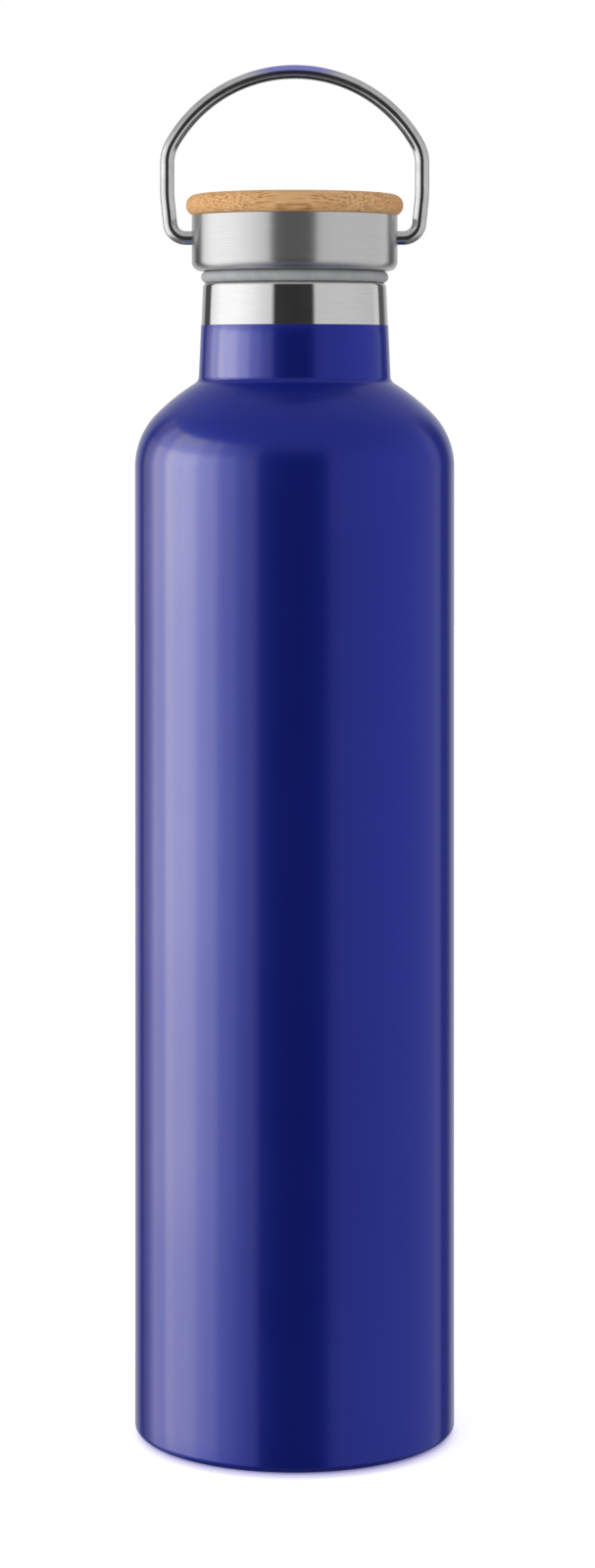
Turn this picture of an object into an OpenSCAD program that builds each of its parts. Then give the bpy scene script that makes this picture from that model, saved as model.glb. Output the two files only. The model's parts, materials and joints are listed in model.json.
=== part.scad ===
// Double-walled steel drinking flask with a screw plug lid, a bamboo top disc and a swinging wire handle.
// Millimetres. +Z is up, the bottle stands on z = 0 and its axis is the Z axis.

/* [Bottle body] */
// Outside diameter of the painted body
body_d = 80; // [66:0.5:96]
// Height of the mouth rim above the surface the bottle stands on
rim_h = 287; // [200:1:345]
// Height from the start of the shoulder to the mouth rim
shoulder_h = 46; // [42:0.5:56]
// Thickness of each drawn steel wall
wall_t = 0.4; // [0.3:0.05:0.6]
// Thickness of the paint on the outer wall
paint_t = 0.08; // [0.04:0.01:0.15]
// Radius of the bottom corner
foot_round = 2; // [1.2:0.1:4]
// Radial width of the flat ring that the bottle stands on
foot_ring_w = 2.6; // [1.5:0.1:5]
// Radius of the first, tighter part of the shoulder
shoulder_round = 19; // [16:0.5:24]
// Angle turned by the first part of the shoulder, in degrees
shoulder_turn = 45; // [38:1:50]
// Radius of the second, flatter part of the shoulder
shoulder_flat_round = 52; // [44:1:60]
// Radius of the hollow fillet where the shoulder meets the neck
neck_fillet = 2.2; // [1.5:0.1:4]

/* [Neck and mouth] */
// Outside diameter of the neck at the rim
neck_d = 45.9; // [38:0.1:56]
// Draft of the neck's outside, in degrees
neck_draft = 2.45; // [0:0.05:4]
// Height of the bare steel band between the paint and the rim
bare_band_h = 10.6; // [5:0.1:16]
// Radius of the rim's outer corner
rim_round = 1; // [0.5:0.1:1.2]
// Vacuum gap between the two necks at the rim
neck_gap = 1; // [0.6:0.1:1.6]

/* [Vacuum flask] */
// Gap between the outer and inner walls
vacuum_gap = 2.6; // [1.6:0.1:4]
// Radius of the inner vessel's fillet below its neck
inner_fillet = 4; // [3:0.5:6]
// Height of the inner vessel's underside above the surface
inner_base_h = 8; // [7:0.5:14]
// Corner radius of the inner base
inner_base_round = 6; // [4:0.5:9]
// Height of the recess under the bottle
recess_h = 3.5; // [2.5:0.1:5]
// Diameter of the disc that covers the vacuum port
cover_d = 28; // [20:1:40]
// Depth of the cover disc
cover_h = 1.4; // [1:0.1:2]
// Diameter of the vacuum port
port_d = 2.4; // [1.5:0.1:4]
// Diameter of the getter pill
getter_d = 8; // [6:0.5:12]
// Height of the getter pill
getter_h = 1.6; // [1:0.1:2.5]

/* [Thread and plug] */
// Axial distance between neighbouring thread ridges
thread_pitch = 3.5; // [3.2:0.1:4.5]
// Turns that each thread ridge runs round
thread_turns = 1.25; // [0.75:0.05:1.5]
// Radial height of a thread ridge
thread_depth = 1.1; // [0.8:0.05:1.3]
// Radial clearance between a ridge's crest and the wall opposite
thread_clear = 0.4; // [0.3:0.05:0.6]
// Distance from the rim down to the thread in the neck
rim_in = 1.6; // [1.2:0.1:3]
// Plain length of the plug below its thread
plug_lead_in = 1.9; // [1.8:0.1:5]
// Wall of the moulded plug
plug_wall = 2; // [1.6:0.1:3]

/* [Lid] */
// How far the steel lid shell stands out past the neck
lid_overhang = 2.85; // [2:0.05:5]
// Height of the steel lid shell
lid_h = 13.8; // [12.5:0.1:18]
// Wall of the steel lid shell
lid_wall = 0.5; // [0.4:0.05:0.8]
// Radius of the lid shell's bottom corner
lid_round = 2.3; // [1.5:0.1:3]
// How far the bamboo disc stands out past the shell
disc_overhang = 1.45; // [0.5:0.05:4]
// Thickness of the bamboo disc above the shell
disc_t = 5.35; // [4:0.05:8]
// Depth of the disc's spigot inside the shell
spigot_h = 1.5; // [1:0.1:2]
// Thickness of the adhesive layer under the disc
glue_t = 0.4; // [0.2:0.05:0.6]
// Thickness of the core's floor
core_floor = 3; // [2.5:0.1:4]
// Wall of the core's rim
core_wall = 1.8; // [1.4:0.1:2.5]
// Height of the plug's spigot inside the core
plug_spigot_h = 2; // [1.5:0.1:2.2]
// Radial width of the plug's shoulder that clamps the shell's floor
floor_seat_w = 2.1; // [1.5:0.1:4]

/* [Gasket] */
// Thickness of the silicone gasket
gasket_t = 3; // [2:0.1:4]
// How far the gasket's bulged edge stands out past the neck
gasket_proud = 0.55; // [0:0.05:1.2]

/* [Handle] */
// Diameter of the handle wire
wire_d = 3.55; // [3:0.05:4.5]
// Depth of the handle's pivot below the lid shell's top edge
pivot_drop = 5.5; // [4.5:0.1:6.5]
// Gap between the bamboo disc's edge and each leg
leg_gap = 2.95; // [2:0.05:8]
// Height of the handle's crown above its pivot
handle_rise = 43.45; // [36:0.05:60]
// How much larger the crown's centre-line radius is than the legs' distance from the axis
crown_flare = 3.25; // [2:0.05:6]
// Centre-line radius of the corner where a leg meets the crown
corner_round = 10; // [6:0.5:12]
// Centre-line radius of the bend next to the pivot
ankle_round = 4; // [3.5:0.1:6]
// Centre-line radius of the slight knee in each leg
knee_round = 30; // [15:1:40]
// Lean of each leg's lower part, in degrees
leg_lean = 6; // [2:0.5:9]
// Height of the knee's top above the pivot
knee_h = 12.2; // [9:0.1:14]
// Length of wire held inside the core at each side
wire_grip = 8.2; // [6:0.1:9]
// Running clearance round the wire in its bores
wire_fit = 0.06; // [0.03:0.01:0.1]
// Clearance round the wire in the thin shell
wire_hole_clear = 0.35; // [0.3:0.05:0.6]

/* [Core screws] */
// Diameter of each screw's shank
screw_d = 2.5; // [2:0.1:3]
// Diameter of each screw's head
screw_head_d = 4.6; // [4:0.1:5.5]
// Height of each screw's head
screw_head_h = 1.4; // [1:0.1:1.8]
// Length of each screw's shank below the head
screw_len = 9; // [7:0.5:12]
// Foam left between each screw boss and the plug's wall
screw_web = 1; // [0.6:0.1:2]

/* [Hidden] */
$fn = 96;

// Bottle
body_r = body_d / 2;
shoulder_z = rim_h - shoulder_h;
skin_t = paint_t + wall_t;
paint_z = rim_h - bare_band_h;
neck_r = neck_d / 2;
foot_in_r = body_r - foot_round - foot_ring_w;
inner_r = body_r - skin_t - vacuum_gap;
inner_neck_r = neck_r - wall_t - paint_t - neck_gap;
mouth_r = inner_neck_r - wall_t;
rim_edge = 0.15;

// Shoulder: two tangent arcs, whose centres serve every parallel wall
turn_dir = [cos(shoulder_turn), sin(shoulder_turn)];
arc_1 = [body_r - shoulder_round, shoulder_z];
arc_2 = arc_1 + (shoulder_round - shoulder_flat_round) * turn_dir;

// Base
pan_rim_w = 3;
pan_slope = 1.8;
seal_h = 0.8;
seal_d = 5;
tab_t = 0.3;
tab_len = 14;
tab_w = 5;
getter_x = 18;

// Thread: two starts, right-handed
starts = 2;
lead = starts * thread_pitch;
facets = 48;
fade = 5;
sunk = 0.2;
flank_clear = 0.36;
crest_w = (thread_pitch - 2 * flank_clear) / 2 - 0.3;
root_w = crest_w + 0.95;
plug_r = mouth_r - thread_depth - thread_clear;
female_z = rim_h - rim_in - root_w / 2 - lead * thread_turns;
male_z = female_z - thread_pitch / 2;

// Lid
lid_r = neck_r + lid_overhang;
lid_z = rim_h + gasket_t;
floor_z = lid_z + lid_wall;
lid_top = lid_z + lid_h;
lid_fit = 0.1;
core_r = lid_r - lid_wall - lid_fit;
glue_z = lid_top - spigot_h - glue_t;
spigot_fit = 0.1;
disc_r = lid_r + disc_overhang;
floor_hole_r = plug_r - floor_seat_w;
plug_bottom = male_z - root_w / 2 - plug_lead_in;
plug_round = 1.5;
plug_spigot_r = floor_hole_r - spigot_fit;
plug_cavity_r = plug_spigot_r - plug_wall;
plug_top = floor_z + plug_spigot_h - lid_wall;
foam_gap = 0.25;
boss_r = 2.9;
screw_r = plug_cavity_r - boss_r - screw_web;
screw_fit = 0.05;
screw_seat = floor_z + core_floor;

// Handle
wire_r = wire_d / 2;
pivot_z = lid_top - pivot_drop;
wire_end_r = core_r - wire_grip;
leg_x = disc_r + leg_gap + wire_r;
crown_r = leg_x + crown_flare;
crown_z = pivot_z + handle_rise - crown_r - wire_r;
corner_turn = acos((leg_x - corner_round) / (crown_r - corner_round));
corner_z = crown_z + (crown_r - corner_round) * sin(corner_turn);
knee_z = pivot_z + knee_h;
lean_top = [leg_x - knee_round * (1 - cos(leg_lean)), knee_z - knee_round * sin(leg_lean)];
lean_low_z = pivot_z + ankle_round * (1 - sin(leg_lean));
lean_low_x = lean_top[0] - (lean_top[1] - lean_low_z) * tan(leg_lean);
ankle_x = lean_low_x - ankle_round * cos(leg_lean);
corner_top = corner_z + corner_round * sin(corner_turn);
crown_steps = 18;
pin_overlap = 1;
pin_step = 0.01;
pivot_boss_w = 7.4;
pivot_boss_in = 1.2;

// Points along an arc in the profile plane
function arc(centre, r, from, to, steps) =
    [for (i = [0:steps]) centre + r * [cos(from + (to - from) * i / steps), sin(from + (to - from) * i / steps)]];

// Centre of the fillet between the shoulder, set in by inset, and a neck of radius r_top at the rim
function fillet_centre(inset, r_top, draft, fillet) =
    let (
        t = tan(draft),
        a = r_top + fillet / cos(draft) - arc_2[0],
        b = rim_h - arc_2[1],
        s = shoulder_flat_round - inset + fillet,
        k = b - a * t,
        u = (k - sqrt(k * k - (1 + t * t) * (a * a + b * b - s * s))) / (1 + t * t)
    )
    [a + arc_2[0] + u * t, rim_h - u];

// Shoulder and fillet, from the straight body up to the foot of the neck
function shoulder(inset, r_top, draft, fillet) =
    let (
        c = fillet_centre(inset, r_top, draft, fillet),
        low = atan2(c[1] - arc_2[1], c[0] - arc_2[0])
    )
    concat(
        arc(arc_1, shoulder_round - inset, 0, shoulder_turn, 16),
        arc(arc_2, shoulder_flat_round - inset, shoulder_turn, low, 6),
        arc(c, fillet, 180 + low, 180 + draft, 8)
    );

function reversed(list) = [for (i = [len(list) - 1:-1:0]) list[i]];

// Radius of the painted neck at height z
function neck_at(z) = neck_r + paint_t + (rim_h - z) * tan(neck_draft);

module revolve(points) {
    rotate_extrude() polygon(points);
}

module ring(r_out, r_in, z_low, z_high) {
    translate([0, 0, z_low]) difference() {
        cylinder(r = r_out, h = z_high - z_low);
        translate([0, 0, -1]) cylinder(r = r_in, h = z_high - z_low + 2);
    }
}

module outer_shell() {
    painted_top = neck_r + paint_t;
    inside_top = neck_r - wall_t;
    color([0.09, 0.12, 0.5]) revolve(concat(
        [[foot_in_r, 0]],
        arc([body_r - foot_round, foot_round], foot_round, -90, 0, 8),
        shoulder(0, painted_top, neck_draft, neck_fillet),
        [[neck_at(paint_z), paint_z], [neck_at(paint_z) - paint_t, paint_z]],
        arc([neck_at(rim_h - rim_round) - paint_t - rim_round, rim_h - rim_round], rim_round, neck_draft, 90, 8),
        [[mouth_r + rim_edge, rim_h], [mouth_r, rim_h - rim_edge], [mouth_r, rim_h - wall_t]],
        [[inside_top, rim_h - wall_t]],
        reversed(shoulder(skin_t, inside_top, neck_draft, neck_fillet + skin_t)),
        arc([body_r - foot_round, foot_round], foot_round - skin_t, 0, -90, 8),
        [[foot_in_r, skin_t]]
    ));
}

module outer_base() {
    pan_r = foot_in_r - 0.4;
    color([0.72, 0.73, 0.74]) difference() {
        revolve([
            [0, recess_h], [pan_r - pan_slope, recess_h], [pan_r, skin_t], [pan_r + pan_rim_w, skin_t],
            [pan_r + pan_rim_w, skin_t + wall_t], [pan_r + wall_t / 2, skin_t + wall_t],
            [pan_r - pan_slope + wall_t / 2, recess_h + wall_t], [0, recess_h + wall_t]
        ]);
        cylinder(d = port_d, h = 3 * recess_h);
    }
}

module base_cover() {
    color([0.75, 0.76, 0.77]) translate([0, 0, recess_h - cover_h]) difference() {
        cylinder(d = cover_d, h = cover_h);
        translate([0, 0, wall_t]) cylinder(d = cover_d - 2 * wall_t, h = cover_h);
    }
}

module vacuum_seal() {
    color([0.55, 0.56, 0.58]) translate([0, 0, recess_h - seal_h]) cylinder(d = seal_d, h = seal_h);
}

module getter() {
    top = recess_h + wall_t;
    color([0.45, 0.45, 0.47]) {
        translate([getter_x - tab_len / 2, -tab_w / 2, top]) cube([tab_len, tab_w, tab_t]);
        translate([getter_x, 0, top + tab_t]) cylinder(d = getter_d, h = getter_h);
    }
}

module inner_vessel() {
    base_top = inner_base_h + inner_base_round;
    color([0.78, 0.78, 0.78]) union() {
        revolve(concat(
            [[inner_r, base_top]],
            shoulder(body_r - inner_r, inner_neck_r, 0, inner_fillet),
            [[inner_neck_r, rim_h - wall_t], [mouth_r, rim_h - wall_t]],
            reversed(shoulder(body_r - inner_r + wall_t, mouth_r, 0, inner_fillet + wall_t)),
            [[inner_r - wall_t, base_top]]
        ));
        thread(mouth_r, mouth_r - thread_depth, female_z);
    }
}

module inner_base() {
    corner = [inner_r - inner_base_round, inner_base_h + inner_base_round];
    color([0.76, 0.76, 0.77]) revolve(concat(
        [[0, inner_base_h]],
        arc(corner, inner_base_round, -90, 0, 12),
        arc(corner, inner_base_round - wall_t, 0, -90, 12),
        [[0, inner_base_h + wall_t]]
    ));
}

// One helical ridge per start, sunk a little into the wall it stands on and faded out at both ends
module thread(root_r, crest_r, z_start) {
    for (k = [0:starts - 1]) rotate([0, 0, 360 * k / starts]) ridge(root_r, crest_r, z_start);
}

module ridge(root_r, crest_r, z_start) {
    side = sign(crest_r - root_r);
    base_r = root_r - side * sunk;
    steps = round(thread_turns * facets);
    sections = [for (i = [0:steps])
        let (
            grown = min(1, (i + 0.5) / fade, (steps - i + 0.5) / fade),
            r = root_r + side * thread_depth * grown,
            z = z_start + lead * i / facets
        )
        [[base_r, z - root_w / 2], [r, z - crest_w / 2], [r, z + crest_w / 2], [base_r, z + root_w / 2]]
    ];
    points = [for (i = [0:steps]) for (p = sections[i])
        [p[0] * cos(360 * i / facets), p[0] * sin(360 * i / facets), p[1]]];
    skin = [for (i = [0:steps - 1]) for (j = [0:3]) for (half = [0, 1])
        let (a = 4 * i + j, b = 4 * i + (j + 1) % 4)
        half == 0 ? [a, b, b + 4] : [a, b + 4, a + 4]
    ];
    ends = [[0, 2, 1], [0, 3, 2], [4 * steps, 4 * steps + 1, 4 * steps + 2], [4 * steps, 4 * steps + 2, 4 * steps + 3]];
    outward = [for (f = concat(skin, ends)) side > 0 ? f : reversed(f)];
    polyhedron(points = points, faces = outward, convexity = 6);
}

module gasket() {
    bulge = gasket_t / 2 - 0.05;
    seat_r = neck_r + gasket_proud - bulge;
    color([0.62, 0.63, 0.63]) translate([0, 0, rim_h]) rotate_extrude() union() {
        translate([plug_r + foam_gap, 0]) square([seat_r - plug_r - foam_gap, gasket_t]);
        translate([seat_r, gasket_t / 2]) circle(r = bulge);
    }
}

module screw_places() {
    for (k = [0:2]) rotate([0, 0, 90 + 120 * k]) translate([screw_r, 0, 0]) children();
}

module plug() {
    corner = [plug_r - plug_round, plug_bottom + plug_round];
    color([0.88, 0.88, 0.86]) difference() {
        union() {
            revolve(concat(
                [[0, plug_bottom]],
                arc(corner, plug_round, -90, 0, 6),
                [[plug_r, lid_z], [plug_spigot_r, lid_z], [plug_spigot_r, plug_top], [plug_cavity_r, plug_top]],
                [[plug_cavity_r, plug_bottom + plug_wall], [0, plug_bottom + plug_wall]]
            ));
            thread(plug_r, plug_r + thread_depth, male_z);
            screw_places() translate([0, 0, plug_bottom + plug_wall / 2])
                cylinder(r = boss_r, h = plug_top - plug_bottom - plug_wall / 2);
        }
        screw_places() translate([0, 0, screw_seat - screw_len - 1])
            cylinder(d = screw_d + 2 * screw_fit, h = screw_len + 1);
    }
}

module plug_insulation() {
    low = plug_bottom + plug_wall;
    color([0.95, 0.94, 0.9]) difference() {
        translate([0, 0, low]) cylinder(r = plug_cavity_r - foam_gap, h = plug_top - low - foam_gap);
        screw_places() translate([0, 0, low - 1]) cylinder(r = boss_r + foam_gap, h = plug_top - low + 2);
    }
}

module lid_shell() {
    corner = [lid_r - lid_round, lid_z + lid_round];
    color([0.7, 0.71, 0.72]) difference() {
        revolve(concat(
            [[floor_hole_r, lid_z]],
            arc(corner, lid_round, -90, 0, 8),
            [[lid_r, lid_top], [lid_r - lid_wall, lid_top]],
            arc(corner, lid_round - lid_wall, 0, -90, 8),
            [[floor_hole_r, floor_z]]
        ));
        translate([-lid_r - 1, 0, pivot_z]) rotate([0, 90, 0]) cylinder(r = wire_r + wire_hole_clear, h = 2 * lid_r + 2);
    }
}

module lid_core() {
    round_in = lid_round - lid_wall;
    boss_x = wire_end_r - pivot_boss_in;
    color([0.2, 0.2, 0.21]) difference() {
        union() {
            revolve([
                [plug_spigot_r + spigot_fit, floor_z], [core_r - round_in, floor_z], [core_r, floor_z + round_in],
                [core_r, glue_z], [core_r - core_wall, glue_z], [core_r - core_wall, screw_seat], [0, screw_seat],
                [0, plug_top], [plug_spigot_r + spigot_fit, plug_top]
            ]);
            for (side = [0, 180]) rotate([0, 0, side])
                translate([boss_x, -pivot_boss_w / 2, screw_seat - 0.5])
                    cube([core_r - core_wall / 2 - boss_x - 0.3, pivot_boss_w, glue_z - screw_seat + 0.5]);
        }
        for (side = [0, 180]) rotate([0, 0, side])
            translate([wire_end_r - 0.3, 0, pivot_z]) rotate([0, 90, 0]) cylinder(r = wire_r + wire_fit, h = lid_r);
        screw_places() translate([0, 0, floor_z]) cylinder(d = screw_d + 4 * screw_fit, h = core_floor + 1);
    }
}

module core_screws() {
    color([0.6, 0.6, 0.62]) screw_places() {
        translate([0, 0, screw_seat - screw_len]) cylinder(d = screw_d, h = screw_len + 0.2);
        translate([0, 0, screw_seat]) difference() {
            cylinder(d = screw_head_d, h = screw_head_h);
            for (turn = [0, 90]) rotate([0, 0, turn]) translate([-1.2, -0.3, screw_head_h - 0.7]) cube([2.4, 0.6, 1]);
        }
    }
}

module disc_adhesive() {
    color([0.92, 0.9, 0.82]) ring(core_r - lid_fit, core_r - 3 * core_wall, glue_z, glue_z + glue_t);
}

module lid_disc() {
    edge = disc_t / 2;
    color([0.76, 0.55, 0.32]) translate([0, 0, lid_top]) rotate_extrude() union() {
        square([disc_r - edge, disc_t]);
        intersection() {
            translate([disc_r - edge, edge]) circle(r = edge);
            translate([disc_r - edge, 0]) square([edge, disc_t]);
        }
        translate([0, -spigot_h]) square([core_r - spigot_fit, spigot_h + 1]);
    }
}

// Centre line of the handle's right half in the XZ plane, from the pivot pin up to the crown's middle
function half_handle() = concat(
    [[ankle_x - pin_overlap, pivot_z]],
    arc([ankle_x, pivot_z + ankle_round], ankle_round, -90, -leg_lean, 12),
    arc([leg_x - knee_round, knee_z], knee_round, -leg_lean, 0, 2),
    arc([leg_x - corner_round, corner_z], corner_round, 0, corner_turn, 6),
    [for (p = arc([0, crown_z], crown_r, corner_turn, 90, crown_steps)) if (p[1] > corner_top + 0.01) p]
);

// The whole centre line: the left half mirrors the right
function handle_line() =
    let (right = half_handle(), n = len(right))
    concat(right, [for (i = [n - 2:-1:0]) [-right[i][0], right[i][1]]]);

// A round tube swept along points in the XZ plane
module swept_wire(line, r, sides) {
    n = len(line);
    points = [for (i = [0:n - 1])
        let (
            run = line[min(i + 1, n - 1)] - line[max(i - 1, 0)],
            across = [run[1], -run[0]] / norm(run)
        )
        for (k = [0:sides - 1])
            let (a = 360 * k / sides)
            [line[i][0] + r * cos(a) * across[0], r * sin(a), line[i][1] + r * cos(a) * across[1]]
    ];
    skin = [for (i = [0:n - 2]) for (k = [0:sides - 1]) for (half = [0, 1])
        let (a = sides * i + k, b = sides * i + (k + 1) % sides)
        half == 0 ? [a, a + sides, b + sides] : [a, b + sides, b]
    ];
    ends = [[for (k = [0:sides - 1]) k], [for (k = [sides - 1:-1:0]) sides * (n - 1) + k]];
    polyhedron(points = points, faces = concat(skin, ends), convexity = 8);
}

module handle() {
    color([0.6, 0.6, 0.62]) union() {
        swept_wire(handle_line(), wire_r - pin_step, 24);
        for (side = [-1, 1]) translate([side > 0 ? wire_end_r : -ankle_x, 0, pivot_z])
            rotate([0, 90, 0]) cylinder(r = wire_r, h = ankle_x - wire_end_r);
    }
}

outer_shell();
outer_base();
base_cover();
vacuum_seal();
getter();
inner_vessel();
inner_base();
gasket();
plug();
plug_insulation();
lid_shell();
lid_core();
core_screws();
disc_adhesive();
lid_disc();
handle();
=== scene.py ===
"""Looks of the vacuum bottle: smooth lathed shells, bent wire, bamboo disc and studio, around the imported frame."""
import json
import math

import bpy
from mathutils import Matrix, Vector

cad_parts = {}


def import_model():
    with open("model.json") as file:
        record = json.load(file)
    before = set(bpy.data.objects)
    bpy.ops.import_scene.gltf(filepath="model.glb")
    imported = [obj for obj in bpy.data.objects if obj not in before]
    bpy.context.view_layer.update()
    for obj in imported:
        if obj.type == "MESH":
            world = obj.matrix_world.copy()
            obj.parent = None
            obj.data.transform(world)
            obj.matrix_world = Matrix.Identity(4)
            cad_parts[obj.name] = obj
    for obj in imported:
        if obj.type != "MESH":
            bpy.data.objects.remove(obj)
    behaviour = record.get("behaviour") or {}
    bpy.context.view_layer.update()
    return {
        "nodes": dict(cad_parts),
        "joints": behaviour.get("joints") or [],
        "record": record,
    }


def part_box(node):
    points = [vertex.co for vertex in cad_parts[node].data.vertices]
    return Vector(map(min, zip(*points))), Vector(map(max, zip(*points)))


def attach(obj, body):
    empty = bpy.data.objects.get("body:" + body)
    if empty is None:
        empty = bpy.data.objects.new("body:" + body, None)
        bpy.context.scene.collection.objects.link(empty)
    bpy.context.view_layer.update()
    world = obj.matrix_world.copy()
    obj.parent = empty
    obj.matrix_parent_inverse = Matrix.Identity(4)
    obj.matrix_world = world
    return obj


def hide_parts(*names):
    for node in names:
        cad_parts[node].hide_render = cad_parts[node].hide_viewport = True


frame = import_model()

MM = 0.001
NODES = frame["nodes"]


# ---------------------------------------------------------------- sizes, from the frame where it has them
def top_of(node):
    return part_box(node)[1].z


def bottom_of(node):
    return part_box(node)[0].z


def radius_of(node):
    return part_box(node)[1].x


BODY_R = radius_of("outer_shell")
RIM_Z = top_of("outer_shell")
SHOULDER_Z = RIM_Z - 46 * MM
SHOULDER_R1 = 19 * MM
SHOULDER_R2 = 52 * MM
SHOULDER_TURN = 45
NECK_FILLET = 2.2 * MM
NECK_R = 22.95 * MM
NECK_DRAFT = 2.45
PAINT_T = 0.08 * MM
PAINT_Z = RIM_Z - 10.6 * MM
RIM_ROUND = 1.0 * MM
FOOT_ROUND = 2.0 * MM
FOOT_RING_W = 2.6 * MM
WALL_T = 0.4 * MM
SKIN_T = WALL_T + PAINT_T
MOUTH_R = NECK_R - PAINT_T - 2 * WALL_T - 1.0 * MM

LID_R = radius_of("lid_shell")
LID_Z = bottom_of("lid_shell")
LID_TOP = top_of("lid_shell")
LID_WALL = 0.5 * MM
LID_ROUND = 2.3 * MM
DISC_R = radius_of("lid_disc")
DISC_TOP = top_of("lid_disc")

WIRE_R = 1.775 * MM
HANDLE_R = radius_of("handle")
HANDLE_TOP = top_of("handle")
PIN_END = 17.0 * MM
PIVOT_Z = next(j for j in frame["joints"] if j["name"] == "handle_swing")["pos_m"][2]


# ---------------------------------------------------------------- profile helpers
def arc(centre, radius, start, end, steps):
    """Points along an arc; angles in degrees from the first axis."""
    out = []
    for i in range(steps + 1):
        a = math.radians(start + (end - start) * i / steps)
        out.append((centre[0] + radius * math.cos(a), centre[1] + radius * math.sin(a)))
    return out


ARC_1 = (BODY_R - SHOULDER_R1, SHOULDER_Z)
ARC_2 = (
    ARC_1[0] + (SHOULDER_R1 - SHOULDER_R2) * math.cos(math.radians(SHOULDER_TURN)),
    ARC_1[1] + (SHOULDER_R1 - SHOULDER_R2) * math.sin(math.radians(SHOULDER_TURN)),
)


def shoulder(inset, neck_r, draft, fillet):
    """Shoulder and fillet of a wall set in by inset, up to the foot of its neck."""
    t = math.tan(math.radians(draft))
    a = neck_r + fillet / math.cos(math.radians(draft)) - ARC_2[0]
    b = RIM_Z - ARC_2[1]
    s = SHOULDER_R2 - inset + fillet
    k = b - a * t
    u = (k - math.sqrt(k * k - (1 + t * t) * (a * a + b * b - s * s))) / (1 + t * t)
    c = (a + ARC_2[0] + u * t, RIM_Z - u)
    low = math.degrees(math.atan2(c[1] - ARC_2[1], c[0] - ARC_2[0]))
    return (
        arc(ARC_1, SHOULDER_R1 - inset, 0, SHOULDER_TURN, 24)
        + arc(ARC_2, SHOULDER_R2 - inset, SHOULDER_TURN, low, 10)[1:]
        + arc(c, fillet, 180 + low, 180 + draft, 12)[1:]
    )


def neck_at(z):
    """Outside radius of the painted neck."""
    return NECK_R + PAINT_T + (RIM_Z - z) * math.tan(math.radians(NECK_DRAFT))


def rows(profile, step):
    """The profile with long straight lengths split, so that shading and bump stay even."""
    out = [profile[0]]
    for a, b in zip(profile, profile[1:]):
        n = max(1, math.ceil(math.dist(a, b) / step))
        out += [(a[0] + (b[0] - a[0]) * i / n, a[1] + (b[1] - a[1]) * i / n) for i in range(1, n + 1)]
    return out


def new_mesh(name, verts, faces, sharp=35):
    mesh = bpy.data.meshes.new(name)
    mesh.from_pydata(verts, [], faces)
    mesh.validate()
    mesh.shade_smooth()
    mesh.set_sharp_from_angle(angle=math.radians(sharp))
    obj = bpy.data.objects.new(name, mesh)
    bpy.context.scene.collection.objects.link(obj)
    return obj


def lathe(name, profile, segments=192, closed=True, sharp=35):
    """A solid of revolution; profile is (radius, height) pairs, closed on itself unless it starts and ends on the axis."""
    verts, rings = [], []
    for r, z in profile:
        if r < 1e-7:
            rings.append([len(verts)])
            verts.append((0, 0, z))
        else:
            rings.append(list(range(len(verts), len(verts) + segments)))
            for k in range(segments):
                a = 2 * math.pi * k / segments
                verts.append((r * math.cos(a), r * math.sin(a), z))
    faces = []
    pairs = list(zip(rings, rings[1:]))
    if closed:
        pairs.append((rings[-1], rings[0]))
    for low, high in pairs:
        if len(low) == 1 and len(high) == 1:
            continue
        for k in range(segments):
            n = (k + 1) % segments
            if len(low) == 1:
                faces.append((low[0], high[n], high[k]))
            elif len(high) == 1:
                faces.append((low[k], low[n], high[0]))
            else:
                faces.append((low[k], low[n], high[n], high[k]))
    return new_mesh(name, verts, faces, sharp)


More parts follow.
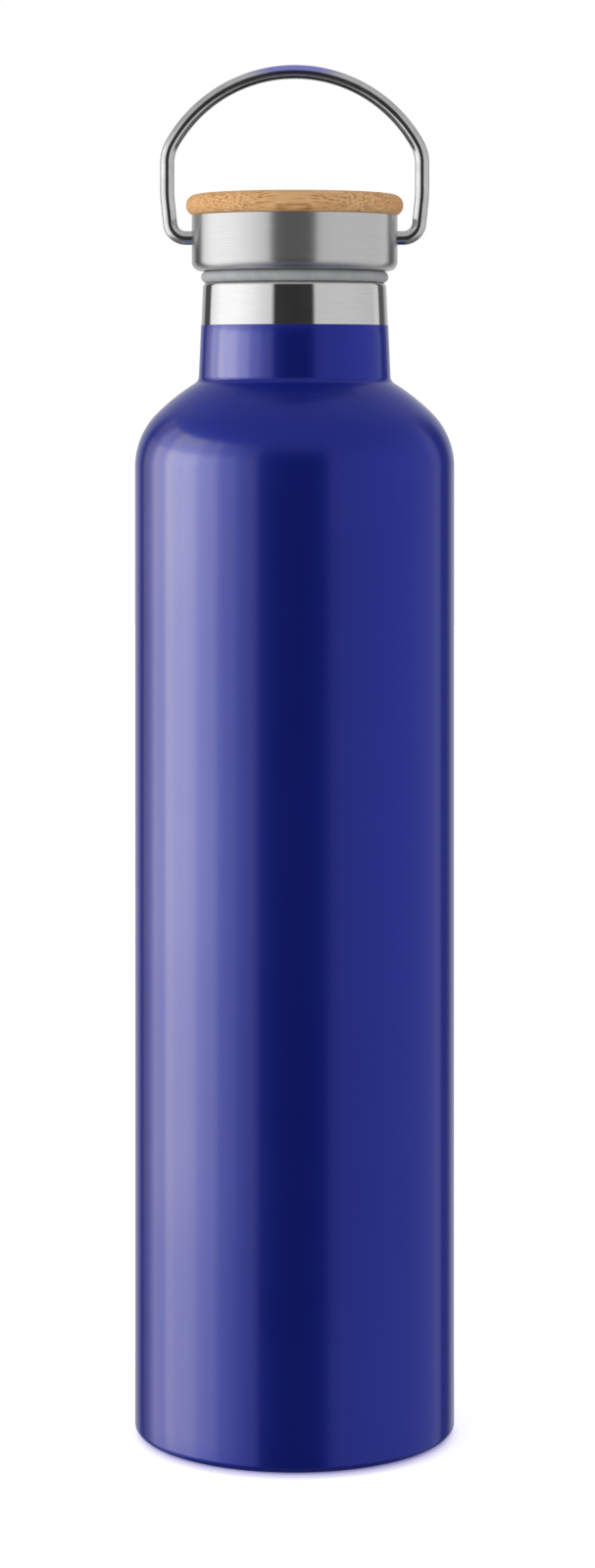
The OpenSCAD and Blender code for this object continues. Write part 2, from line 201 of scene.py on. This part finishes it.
# ---------------------------------------------------------------- material helpers
class Nodes:
    """Short calls for building one material's nodes."""

    def __init__(self, name):
        self.material = bpy.data.materials.new(name)
        self.material.use_nodes = True
        self.tree = self.material.node_tree
        self.shader = self.tree.nodes["Principled BSDF"]
        self.place = self.add("ShaderNodeTexCoord").outputs["Object"]

    def add(self, kind, **values):
        node = self.tree.nodes.new(kind)
        for key, value in values.items():
            setattr(node, key, value)
        return node

    def link(self, a, b):
        self.tree.links.new(a, b)

    def put(self, socket, value):
        if isinstance(value, bpy.types.NodeSocket):
            self.link(value, socket)
        else:
            socket.default_value = value

    def math(self, operation, a, b=0.0, clamp=False):
        node = self.add("ShaderNodeMath", operation=operation, use_clamp=clamp)
        self.put(node.inputs[0], a)
        self.put(node.inputs[1], b)
        return node.outputs[0]

    def stretch(self, scale, vector=None):
        node = self.add("ShaderNodeMapping")
        self.link(vector or self.place, node.inputs["Vector"])
        node.inputs["Scale"].default_value = scale
        return node.outputs["Vector"]

    def noise(self, scale, detail=2.0, rough=0.5, vector=None):
        node = self.add("ShaderNodeTexNoise")
        self.link(vector or self.place, node.inputs["Vector"])
        node.inputs["Scale"].default_value = scale
        node.inputs["Detail"].default_value = detail
        node.inputs["Roughness"].default_value = rough
        return node.outputs["Fac"]

    def ramp(self, fac, stops):
        node = self.add("ShaderNodeValToRGB")
        self.link(fac, node.inputs["Fac"])
        items = node.color_ramp.elements
        while len(items) < len(stops):
            items.new(0.5)
        for item, (where, colour) in zip(items, stops):
            item.position = where
            item.color = (*colour, 1) if len(colour) == 3 else colour
        return node.outputs["Color"]

    def spread(self, fac, low, high, to_low, to_high):
        node = self.add("ShaderNodeMapRange")
        self.link(fac, node.inputs["Value"])
        for key, value in zip(("From Min", "From Max", "To Min", "To Max"), (low, high, to_low, to_high)):
            node.inputs[key].default_value = value
        return node.outputs["Result"]

    def mix(self, fac, a, b, blend="MIX"):
        node = self.add("ShaderNodeMix", data_type="RGBA", blend_type=blend)
        self.put(node.inputs["Factor"], fac)
        self.put(node.inputs["A"], a)
        self.put(node.inputs["B"], b)
        return node.outputs["Result"]

    def bump(self, height, distance, strength=1.0):
        node = self.add("ShaderNodeBump")
        self.link(height, node.inputs["Height"])
        node.inputs["Distance"].default_value = distance
        node.inputs["Strength"].default_value = strength
        self.link(node.outputs["Normal"], self.shader.inputs["Normal"])

    def set(self, **values):
        for key, value in values.items():
            self.put(self.shader.inputs[key.replace("_", " ")], value)

    def round_the_axis(self, turns_scale, height_scale):
        """Coordinates that run slowly round the Z axis and quickly along it, for brush marks."""
        split = self.add("ShaderNodeSeparateXYZ")
        self.link(self.place, split.inputs[0])
        angle = self.math("ARCTAN2", split.outputs["Y"], split.outputs["X"])
        join = self.add("ShaderNodeCombineXYZ")
        self.link(self.math("MULTIPLY", self.math("COSINE", angle), turns_scale), join.inputs["X"])
        self.link(self.math("MULTIPLY", self.math("SINE", angle), turns_scale), join.inputs["Y"])
        self.link(self.math("MULTIPLY", split.outputs["Z"], height_scale), join.inputs["Z"])
        return join.outputs[0]


def rgb(r, g, b):
    """A colour given in 0-255 display values, as linear."""
    def linear(c):
        c /= 255
        return c / 12.92 if c <= 0.04045 else ((c + 0.055) / 1.055) ** 2.4
    return (linear(r), linear(g), linear(b), 1)


def blue_paint():
    """Satin metallic blue under a thin clear coat, with a very fine orange peel."""
    m = Nodes("blue_paint")
    cloud = m.noise(14, 3)
    flake = m.noise(5200, 2, 0.6)
    m.set(
        Base_Color=m.mix(m.spread(cloud, 0.35, 0.65, 0, 1), (0.0098, 0.0192, 0.262, 1), (0.0112, 0.0212, 0.28, 1)),
        Metallic=m.spread(flake, 0.3, 0.7, 0.51, 0.57),
        Roughness=m.spread(m.noise(60, 4), 0.3, 0.7, 0.28, 0.34),
        Specular_IOR_Level=0.0,
        Specular_Tint=(0.35, 0.42, 1.0, 1),
        Coat_Weight=1.0,
        Coat_IOR=1.3,
        Coat_Roughness=0.16,
    )
    m.bump(m.noise(900, 2), 0.00003, 0.2)
    return m.material


def polished_steel():
    m = Nodes("polished_steel")
    lines = m.noise(1.0, 3, 0.6, m.round_the_axis(3, 9000))
    m.set(
        Base_Color=m.mix(m.spread(lines, 0.3, 0.7, 0, 1), rgb(206, 206, 206), rgb(216, 216, 215)),
        Metallic=1.0,
        Roughness=m.spread(lines, 0.3, 0.7, 0.05, 0.09),
    )
    m.bump(lines, 0.000003, 0.1)
    return m.material


def brushed_steel():
    """Steel brushed round the axis: blurred up and down, clear from side to side, with a few longer scratches."""
    m = Nodes("brushed_steel")
    fine = m.noise(1.0, 3, 0.6, m.round_the_axis(2.2, 7000))
    long = m.noise(1.0, 2, 0.5, m.round_the_axis(4.5, 3200))
    scratch = m.spread(long, 0.66, 0.72, 0, 1)
    tangent = m.add("ShaderNodeTangent", direction_type="RADIAL", axis="Z")
    m.link(tangent.outputs[0], m.shader.inputs["Tangent"])
    steel = m.mix(m.spread(fine, 0.3, 0.7, 0, 1), rgb(201, 202, 202), rgb(213, 213, 213))
    m.set(
        Base_Color=m.mix(m.math("MULTIPLY", scratch, 0.2), steel, rgb(235, 235, 235)),
        Metallic=1.0,
        Roughness=m.spread(fine, 0.3, 0.7, 0.3, 0.35),
        Anisotropic=0.9,
        Anisotropic_Rotation=0.25,
    )
    m.bump(m.math("SUBTRACT", fine, m.math("MULTIPLY", scratch, 0.6)), 0.000006, 0.15)
    return m.material


def spun_steel():
    m = Nodes("spun_steel")
    split = m.add("ShaderNodeSeparateXYZ")
    m.link(m.place, split.inputs[0])
    out = m.math("SQRT", m.math("ADD", m.math("POWER", split.outputs["X"], 2), m.math("POWER", split.outputs["Y"], 2)))
    join = m.add("ShaderNodeCombineXYZ")
    m.link(m.math("MULTIPLY", out, 9000), join.inputs["X"])
    rings = m.noise(1.0, 3, 0.6, join.outputs[0])
    m.set(
        Base_Color=m.mix(m.spread(rings, 0.3, 0.7, 0, 1), rgb(176, 177, 178), rgb(205, 205, 205)),
        Metallic=1.0,
        Roughness=m.spread(rings, 0.3, 0.7, 0.25, 0.38),
    )
    m.bump(rings, 0.00001, 0.3)
    return m.material


def inner_steel():
    m = Nodes("inner_steel")
    grain = m.noise(700, 4, 0.6)
    m.set(
        Base_Color=m.mix(m.spread(m.noise(30), 0.3, 0.7, 0, 1), rgb(190, 189, 186), rgb(207, 206, 203)),
        Metallic=1.0,
        Roughness=m.spread(grain, 0.3, 0.7, 0.28, 0.4),
    )
    m.bump(grain, 0.00001, 0.3)
    return m.material


def wire_steel():
    """Polished wire with drawing marks along it, and a soft lavender highlight painted along the top of the crown's
    middle.
    """
    m = Nodes("wire_steel")
    marks = m.noise(260, 3, 0.6)
    split = m.add("ShaderNodeSeparateXYZ")
    m.link(m.place, split.inputs[0])
    # Painted highlight: the lavender is mixed into the steel's colour only on the top of the crown's middle.
    side = m.math("ABSOLUTE", split.outputs["X"])
    near = m.spread(side, 6 * MM, 14.5 * MM, 1, 0)
    high = m.spread(split.outputs["Z"], HANDLE_TOP - 3.0 * MM, HANDLE_TOP - 1.7 * MM, 0, 1)
    crown_highlight = m.math("MULTIPLY", near, high, clamp=True)
    steel = m.mix(m.spread(marks, 0.35, 0.65, 0, 1), rgb(196, 197, 198), rgb(212, 212, 212))
    m.set(
        Base_Color=m.mix(crown_highlight, steel, rgb(154, 152, 226)),
        Metallic=1.0,
        Roughness=m.spread(marks, 0.35, 0.65, 0.13, 0.18),
    )
    m.bump(m.noise(500, 2), 0.000003, 0.1)
    return m.material


def bamboo():
    """Laminated bamboo with its fibres along X: pores of end grain show at the left and right, long grain at the front."""
    m = Nodes("bamboo")
    drift = m.add("ShaderNodeTexNoise")
    m.link(m.stretch((16, 55, 55)), drift.inputs["Vector"])
    shift = m.add("ShaderNodeVectorMath", operation="SCALE")
    m.link(drift.outputs["Color"], shift.inputs[0])
    shift.inputs["Scale"].default_value = 0.0014
    wander = m.add("ShaderNodeVectorMath", operation="ADD")
    m.link(m.place, wander.inputs[0])
    m.link(shift.outputs[0], wander.inputs[1])
    along = wander.outputs[0]
    across = m.add("ShaderNodeSeparateXYZ")
    m.link(along, across.inputs[0])
    section = m.add("ShaderNodeCombineXYZ")
    m.link(across.outputs["Y"], section.inputs["X"])
    m.link(across.outputs["Z"], section.inputs["Y"])
    pores = m.add("ShaderNodeTexVoronoi", voronoi_dimensions="2D", feature="F1")
    m.link(section.outputs[0], pores.inputs["Vector"])
    pores.inputs["Scale"].default_value = 1650
    pore = m.spread(pores.outputs["Distance"], 0.14, 0.46, 1, 0)
    bundle = m.noise(1.0, 3, 0.6, m.stretch((150, 520, 520), along))
    pore = m.math("MULTIPLY", pore, m.spread(bundle, 0.36, 0.58, 0.25, 1))
    streak = m.noise(1.0, 4, 0.65, m.stretch((34, 900, 900), along))
    broad = m.noise(1.0, 2, 0.5, m.stretch((12, 110, 110), along))
    split = m.add("ShaderNodeSeparateXYZ")
    m.link(m.place, split.inputs[0])
    strip = m.math("FRACT", m.math("MULTIPLY", m.math("ADD", split.outputs["Y"], 0.09), 1 / (15 * MM)))
    seam = m.spread(m.math("ABSOLUTE", m.math("SUBTRACT", strip, 0.5)), 0.49, 0.5, 0, 1)
    base = m.mix(m.spread(broad, 0.3, 0.7, 0, 1), rgb(216, 155, 92), rgb(230, 180, 122))
    base = m.mix(m.spread(streak, 0.35, 0.7, 0, 0.7), base, rgb(243, 203, 152))
    base = m.mix(m.math("MULTIPLY", pore, 0.75), base, rgb(152, 90, 42))
    base = m.mix(m.math("MULTIPLY", seam, 0.3), base, rgb(130, 82, 44))
    m.set(
        Base_Color=base,
        Roughness=m.spread(streak, 0.3, 0.7, 0.45, 0.6),
        Specular_IOR_Level=0.25,
    )
    m.bump(m.math("SUBTRACT", streak, m.math("MULTIPLY", pore, 0.7)), 0.00006, 0.45)
    return m.material


def silicone():
    m = Nodes("silicone")
    dust = m.noise(420, 4, 0.6)
    m.set(
        Base_Color=m.mix(m.spread(dust, 0.35, 0.7, 0, 1), rgb(168, 169, 170), rgb(182, 183, 183)),
        Roughness=m.spread(dust, 0.3, 0.7, 0.5, 0.62),
    )
    m.bump(dust, 0.00002, 0.3)
    return m.material


def plastic(name, low, high, roughness, scale=500):
    m = Nodes(name)
    grain = m.noise(scale, 4, 0.6)
    m.set(
        Base_Color=m.mix(m.spread(grain, 0.3, 0.7, 0, 1), rgb(*low), rgb(*high)),
        Roughness=m.spread(grain, 0.3, 0.7, roughness - 0.05, roughness + 0.05),
    )
    m.bump(grain, 0.00002, 0.3)
    return m.material


def cells(name, low, high, scale):
    """Closed-cell foam."""
    m = Nodes(name)
    cell = m.add("ShaderNodeTexVoronoi", feature="DISTANCE_TO_EDGE")
    m.link(m.place, cell.inputs["Vector"])
    cell.inputs["Scale"].default_value = scale
    wall = m.spread(cell.outputs["Distance"], 0, 0.2, 0, 1)
    m.set(Base_Color=m.mix(wall, rgb(*low), rgb(*high)), Roughness=0.8)
    m.bump(wall, 0.0001, 0.5)
    return m.material


def dull_metal():
    m = Nodes("dull_metal")
    grain = m.noise(900, 4, 0.7)
    m.set(
        Base_Color=m.mix(m.spread(grain, 0.3, 0.7, 0, 1), rgb(118, 118, 120), rgb(150, 150, 152)),
        Metallic=1.0,
        Roughness=m.spread(grain, 0.3, 0.7, 0.45, 0.6),
    )
    m.bump(grain, 0.00003, 0.4)
    return m.material


FINISH = {
    "blue_paint": blue_paint(),
    "polished": polished_steel(),
    "brushed_steel": brushed_steel(),
    "bare_steel": spun_steel(),
    "inner_steel": inner_steel(),
    "wire_steel": wire_steel(),
    "bamboo": bamboo(),
    "silicone": silicone(),
    "white_plastic": plastic("white_plastic", (222, 222, 217), (232, 232, 228), 0.38),
    "black_plastic": plastic("black_plastic", (30, 30, 32), (42, 42, 44), 0.45),
    "foam": cells("foam", (214, 211, 200), (240, 238, 229), 900),
    "adhesive": cells("adhesive", (212, 206, 186), (232, 227, 210), 1500),
    "dull_metal": dull_metal(),
    "screw_steel": plastic("screw_steel", (150, 150, 154), (176, 176, 180), 0.3, 1500),
}
FINISH["screw_steel"].node_tree.nodes["Principled BSDF"].inputs["Metallic"].default_value = 1.0


def finish_of(obj, finish):
    obj.data.materials.clear()
    obj.data.materials.append(FINISH[finish])


def stand_for(obj, node, body, finish):
    """obj stands for a CAD node, which it hides, rides on its body and takes the finish it is given."""
    finish_of(obj, finish)
    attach(obj, body)
    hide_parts(node)
    return obj


# ---------------------------------------------------------------- pieces
def shell_pieces():
    foot_in = BODY_R - FOOT_ROUND - FOOT_RING_W
    inside_top = NECK_R - WALL_T
    outside = (
        [(foot_in, SKIN_T), (foot_in, 0)]
        + arc((BODY_R - FOOT_ROUND, FOOT_ROUND), FOOT_ROUND, -90, 0, 14)
        + shoulder(0, NECK_R + PAINT_T, NECK_DRAFT, NECK_FILLET)
    )
    soft = PAINT_T * 0.6
    paint_end = neck_at(PAINT_Z)
    edge = [
        (neck_at(PAINT_Z - soft), PAINT_Z - soft),
        (paint_end - soft * 0.3, PAINT_Z - soft * 0.3),
        (paint_end - PAINT_T, PAINT_Z),
    ]
    inside = (
        [(paint_end - SKIN_T, PAINT_Z)]
        + shoulder(SKIN_T, inside_top, NECK_DRAFT, NECK_FILLET + SKIN_T)[::-1]
        + arc((BODY_R - FOOT_ROUND, FOOT_ROUND), FOOT_ROUND - SKIN_T, 0, -90, 8)
    )
    painted = lathe("shell_painted", rows(outside + edge, 4 * MM) + rows(inside, 30 * MM), 256)
    stand_for(painted, "outer_shell", "bottle", "blue_paint")
    rim_r = neck_at(RIM_Z - RIM_ROUND) - PAINT_T - RIM_ROUND
    band = (
        [(paint_end - PAINT_T, PAINT_Z)]
        + arc((rim_r, RIM_Z - RIM_ROUND), RIM_ROUND, NECK_DRAFT, 90, 12)
        + [(MOUTH_R + 0.15 * MM, RIM_Z), (MOUTH_R, RIM_Z - 0.15 * MM), (MOUTH_R, RIM_Z - WALL_T)]
        + [(inside_top, RIM_Z - WALL_T), (paint_end - SKIN_T, PAINT_Z)]
    )
    stand_for(lathe("neck_band", rows(band, 2 * MM), 256), "outer_shell", "bottle", "polished")


def gasket_piece():
    z = bottom_of("gasket")
    thick = top_of("gasket") - z
    bulge = thick / 2 - 0.05 * MM
    seat = radius_of("gasket") - bulge
    inner = MOUTH_R - 1.25 * MM
    profile = [(inner, z), (seat, z)] + arc((seat, z + thick / 2), bulge, -88, 88, 20) + [(seat, z + thick), (inner, z + thick)]
    return stand_for(lathe("gasket_ring", profile, 192), "gasket", "seal_ring", "silicone")


def disc_piece():
    edge = (DISC_TOP - LID_TOP) / 2
    spigot = LID_R - LID_WALL - 0.2 * MM
    low = bottom_of("lid_disc")
    flat = [(0, low), (spigot, low), (spigot, LID_TOP)]
    rim = arc((DISC_R - edge, LID_TOP + edge), edge, -90, 90, 28)
    top = [((DISC_R - edge) * (1 - i / 6), DISC_TOP) for i in range(1, 7)]
    return stand_for(lathe("bamboo_disc", flat + rim + top, 192, closed=False), "lid_disc", "lid", "bamboo")


def handle_line():
    """Centre line of the wire in the XZ plane, from the right pin over the crown to the left pin."""
    leg_x = HANDLE_R - WIRE_R
    ankle, knee, corner, lean = 4 * MM, 30 * MM, 10 * MM, 6
    crown_r = leg_x + 3.25 * MM
    crown_z = HANDLE_TOP - WIRE_R - crown_r
    turn = math.degrees(math.acos((leg_x - corner) / (crown_r - corner)))
    corner_z = crown_z + (crown_r - corner) * math.sin(math.radians(turn))
    knee_z = PIVOT_Z + 12.2 * MM
    s, c, t = (f(math.radians(lean)) for f in (math.sin, math.cos, math.tan))
    low_x = leg_x - knee * (1 - c) - (knee_z - knee * s - PIVOT_Z - ankle * (1 - s)) * t
    ankle_x = low_x - ankle * c
    right = (
        [(PIN_END, PIVOT_Z), (ankle_x - 2 * MM, PIVOT_Z)]
        + arc((ankle_x, PIVOT_Z + ankle), ankle, -90, -lean, 24)
        + arc((leg_x - knee, knee_z), knee, -lean, 0, 6)
        + arc((leg_x - corner, corner_z), corner, 0, turn, 14)
        + arc((0, crown_z), crown_r, turn, 90, 60)[1:]
    )
    return right + [(-x, z) for x, z in right[-2::-1]]


def handle_piece():
    line, sides = handle_line(), 48
    verts, faces = [], []
    for i, (x, z) in enumerate(line):
        a, b = line[max(i - 1, 0)], line[min(i + 1, len(line) - 1)]
        run = (b[0] - a[0], b[1] - a[1])
        size = math.hypot(*run)
        across = (run[1] / size, -run[0] / size)
        for k in range(sides):
            turn = 2 * math.pi * k / sides
            out = WIRE_R * math.cos(turn)
            verts.append((x + out * across[0], WIRE_R * math.sin(turn), z + out * across[1]))
    for i in range(len(line) - 1):
        for k in range(sides):
            n = (k + 1) % sides
            faces.append((sides * i + k, sides * (i + 1) + k, sides * (i + 1) + n, sides * i + n))
    faces.append(tuple(range(sides)))
    faces.append(tuple(range(sides * len(line) - 1, sides * (len(line) - 1) - 1, -1)))
    return stand_for(new_mesh("handle_wire", verts, faces), "handle", "handle", "wire_steel")


def smooth_node(node, finish):
    """A CAD node kept as it is, with smooth shading and its finish."""
    obj = NODES[node]
    obj.data.shade_smooth()
    obj.data.set_sharp_from_angle(angle=math.radians(30))
    finish_of(obj, finish)


shell_pieces()
gasket_piece()
disc_piece()
handle_piece()
for part in frame["record"]["subparts"]:
    if not NODES[part["node"]].hide_render:
        smooth_node(part["node"], part["material_slot"])


# ---------------------------------------------------------------- studio
IMAGE_W, IMAGE_H = 607, 1600
FOCAL_PX = 3720
HORIZON_Y = 389
AXIS_X = 300.6
SENSOR_MM = 36
CAMERA_BACK = 0.9145
CAMERA_HEIGHT = 0.2624


# Strength of the studio by azimuth in degrees from the camera's side, + to the right
PANELS = [
    (-180, 0.75), (-152, 0.5), (-146, 0.1), (-131, 0.08), (-126, 1.1), (-104, 1.45), (-75, 1.45),
    (-55, 1.25), (-42, 1.04), (-29, 0.88), (-24.5, 0.05), (0, 0.04), (22, 0.05), (26, 0.76),
    (60, 0.78), (114, 0.72), (120, 0.84), (128, 0.8), (131, 0.1), (146, 0.15), (152, 0.5), (180, 0.75),
]
OVERHEAD = 0.6
UNDERFOOT = 0.22
AMBIENT = 0.66
# Soft highlight on the paint, left of the camera: strength by azimuth, and its height, length and share by level
HIGHLIGHT = 19.0
HIGHLIGHT_AZIMUTHS = [(-34, 0.06), (-49, 0.15), (-64, 0.38), (-80, 0.6), (-96, 0.54), (-112, 0.21), (-128, 0.05)]
HIGHLIGHT_LEVELS = [(0.62, 0.3, 0.5), (0.32, 0.3, 1.0), (0.085, 0.17, 0.84), (-0.06, 0.12, 0.7), (-0.18, 0.12, 0.5), (-0.3, 0.12, 0.3)]
# The highlight's lamps are warm, because the paint's metallic layer turns their light blue
HIGHLIGHT_COLOUR = (1.0, 0.82, 0.155)


def camera():
    data = bpy.data.cameras.new("camera")
    data.sensor_width = SENSOR_MM
    data.lens = FOCAL_PX / IMAGE_H * SENSOR_MM
    data.shift_y = (HORIZON_Y - IMAGE_H / 2) / IMAGE_H
    data.clip_start = 0.01
    obj = bpy.data.objects.new("camera", data)
    obj.location = ((IMAGE_W / 2 - AXIS_X) * CAMERA_BACK / FOCAL_PX, -CAMERA_BACK, CAMERA_HEIGHT)
    obj.rotation_euler = (math.radians(90), 0, 0)
    bpy.context.scene.collection.objects.link(obj)
    bpy.context.scene.camera = obj


def lamp(name, azimuth, distance, height, width, tall, strength, glossy, diffuse, only=None):
    """A soft box at an azimuth from the camera's side, + to the right, facing the bottle's axis."""
    data = bpy.data.lights.new(name, "AREA")
    data.shape = "RECTANGLE"
    data.size = width
    data.size_y = tall
    data.energy = strength * math.pi * width * tall
    obj = bpy.data.objects.new(name, data)
    a = math.radians(azimuth)
    obj.location = (distance * math.sin(a), -distance * math.cos(a), height)
    aim = Vector((0, 0, height)) - obj.location
    obj.rotation_euler = aim.to_track_quat("-Z", "Y").to_euler()
    bpy.context.scene.collection.objects.link(obj)
    obj.visible_camera = False
    obj.visible_glossy = glossy
    obj.visible_diffuse = diffuse
    if only:
        obj.light_linking.receiver_collection = only
    return obj


def lamps():
    lamp("side_left", -85, 0.9, 0.3, 0.7, 0.8, 2.6, False, True)
    lamp("side_right", 85, 0.9, 0.3, 0.7, 0.8, 0.2, False, True)
    painted = bpy.data.collections.new("painted")
    painted.objects.link(bpy.data.objects["shell_painted"])
    lamp("paint_left", -88, 0.9, 0.3, 0.7, 0.8, 1.2, False, True, painted)
    lamp("paint_right", 92, 0.9, 0.3, 0.7, 0.8, 2.4, False, True, painted)
    for azimuth, share in HIGHLIGHT_AZIMUTHS:
        for height, tall, fade in HIGHLIGHT_LEVELS:
            name = f"highlight_{-azimuth}_{round(1000 * height)}"
            soft = lamp(name, azimuth, 0.8, height, 0.22, tall, HIGHLIGHT * share * fade, True, False, painted)
            soft.data.color = HIGHLIGHT_COLOUR


def world():
    """White to the camera; to reflections, a studio of two tall soft panels with a dark gap at the camera."""
    w = bpy.data.worlds.new("studio")
    w.use_nodes = True
    tree = w.node_tree
    back = tree.nodes["Background"]

    def node(kind, *inputs, **values):
        made = tree.nodes.new(kind)
        for key, value in values.items():
            setattr(made, key, value)
        for socket, value in zip(made.inputs, inputs):
            if isinstance(value, bpy.types.NodeSocket):
                tree.links.new(value, socket)
            elif value is not None:
                socket.default_value = value
        return made

    def blend(factor, low, high):
        made = node("ShaderNodeMix", data_type="RGBA")
        for key, value in (("Factor", factor), ("A", low), ("B", high)):
            if isinstance(value, bpy.types.NodeSocket):
                tree.links.new(value, made.inputs[key])
            else:
                made.inputs[key].default_value = value
        return made.outputs["Result"]

    split = node("ShaderNodeSeparateXYZ", node("ShaderNodeTexCoord").outputs["Generated"])
    front = node("ShaderNodeMath", split.outputs["Y"], -1.0, operation="MULTIPLY").outputs[0]
    angle = node("ShaderNodeMath", split.outputs["X"], front, operation="ARCTAN2").outputs[0]
    turn = node("ShaderNodeMapRange", angle, -math.pi, math.pi, 0.0, 1.0).outputs["Result"]
    ramp = node("ShaderNodeValToRGB", turn)
    items = ramp.color_ramp.elements
    while len(items) < len(PANELS):
        items.new(0.5)
    for item, (azimuth, strength) in zip(items, PANELS):
        item.position = (azimuth + 180) / 360
        item.color = (strength, strength, strength, 1)
    high = node("ShaderNodeMapRange", split.outputs["Z"], 0.25, 0.65, 0.0, 1.0, interpolation_type="SMOOTHSTEP")
    low = node("ShaderNodeMapRange", split.outputs["Z"], -0.42, -0.8, 0.0, 1.0, interpolation_type="SMOOTHSTEP")
    seen = blend(high.outputs["Result"], ramp.outputs["Color"], (*[OVERHEAD] * 3, 1))
    seen = blend(low.outputs["Result"], seen, (*[UNDERFOOT] * 3, 1))
    path = node("ShaderNodeLightPath")
    lit = blend(path.outputs["Is Glossy Ray"], (AMBIENT, AMBIENT, AMBIENT, 1), seen)
    tree.links.new(blend(path.outputs["Is Camera Ray"], lit, (1, 1, 1, 1)), back.inputs["Color"])
    back.inputs["Strength"].default_value = 1.0
    bpy.context.scene.world = w


def floor():
    """A pale floor, white to the camera but for the bottle's contact shadow, which is partly real shade and partly
    painted: the floor's glow turns dark lavender close to the foot.
    """
    size = 3.0
    obj = new_mesh("floor", [(-size, -size, 0), (size, -size, 0), (size, size, 0), (-size, size, 0)], [(0, 1, 2, 3)])
    m = bpy.data.materials.new("floor")
    m.use_nodes = True
    tree = m.node_tree
    shader = tree.nodes["Principled BSDF"]
    shader.inputs["Base Color"].default_value = (0.88, 0.88, 0.88, 1)
    shader.inputs["Roughness"].default_value = 0.9
    shader.inputs["Specular IOR Level"].default_value = 0.0
    path = tree.nodes.new("ShaderNodeLightPath")
    tree.links.new(path.outputs["Is Camera Ray"], shader.inputs["Emission Strength"])
    away = tree.nodes.new("ShaderNodeVectorMath")
    away.operation = "LENGTH"
    shifted = tree.nodes.new("ShaderNodeVectorMath")
    shifted.operation = "ADD"
    shifted.inputs[1].default_value = (0, 4 * MM, 0)
    tree.links.new(tree.nodes.new("ShaderNodeTexCoord").outputs["Object"], shifted.inputs[0])
    tree.links.new(shifted.outputs["Vector"], away.inputs[0])
    # Painted shadow: the glow to the camera fades to a dark lavender within a few millimetres of the foot, centred a
    # little in front of it.
    painted_shadow_fade = tree.nodes.new("ShaderNodeMapRange")
    painted_shadow_fade.interpolation_type = "SMOOTHSTEP"
    tree.links.new(away.outputs["Value"], painted_shadow_fade.inputs["Value"])
    painted_shadow_fade.inputs["From Min"].default_value = BODY_R - 4 * MM
    painted_shadow_fade.inputs["From Max"].default_value = BODY_R + 1.5 * MM
    colour = tree.nodes.new("ShaderNodeMix")
    colour.data_type = "RGBA"
    tree.links.new(painted_shadow_fade.outputs["Result"], colour.inputs["Factor"])
    colour.inputs["A"].default_value = (0.16, 0.14, 0.34, 1)
    colour.inputs["B"].default_value = (0.6, 0.59, 0.64, 1)
    tree.links.new(colour.outputs["Result"], shader.inputs["Emission Color"])
    through = tree.nodes.new("ShaderNodeMath")
    through.operation = "MULTIPLY"
    tree.links.new(tree.nodes.new("ShaderNodeNewGeometry").outputs["Backfacing"], through.inputs[0])
    tree.links.new(path.outputs["Is Camera Ray"], through.inputs[1])
    clear = tree.nodes.new("ShaderNodeMath")
    clear.operation = "SUBTRACT"
    clear.inputs[0].default_value = 1.0
    tree.links.new(through.outputs[0], clear.inputs[1])
    tree.links.new(clear.outputs[0], shader.inputs["Alpha"])
    obj.data.materials.append(m)
    obj.visible_glossy = False


camera()
world()
floor()
# The polished wire would mirror the bamboo as a brown line, which the real one doesn't show
for piece in ("bamboo_disc", "disc_adhesive", "lid_core", "core_screws", "plug", "plug_insulation"):
    bpy.data.objects[piece].visible_glossy = False
lamps()
scene = bpy.context.scene
scene.view_settings.view_transform = "Standard"
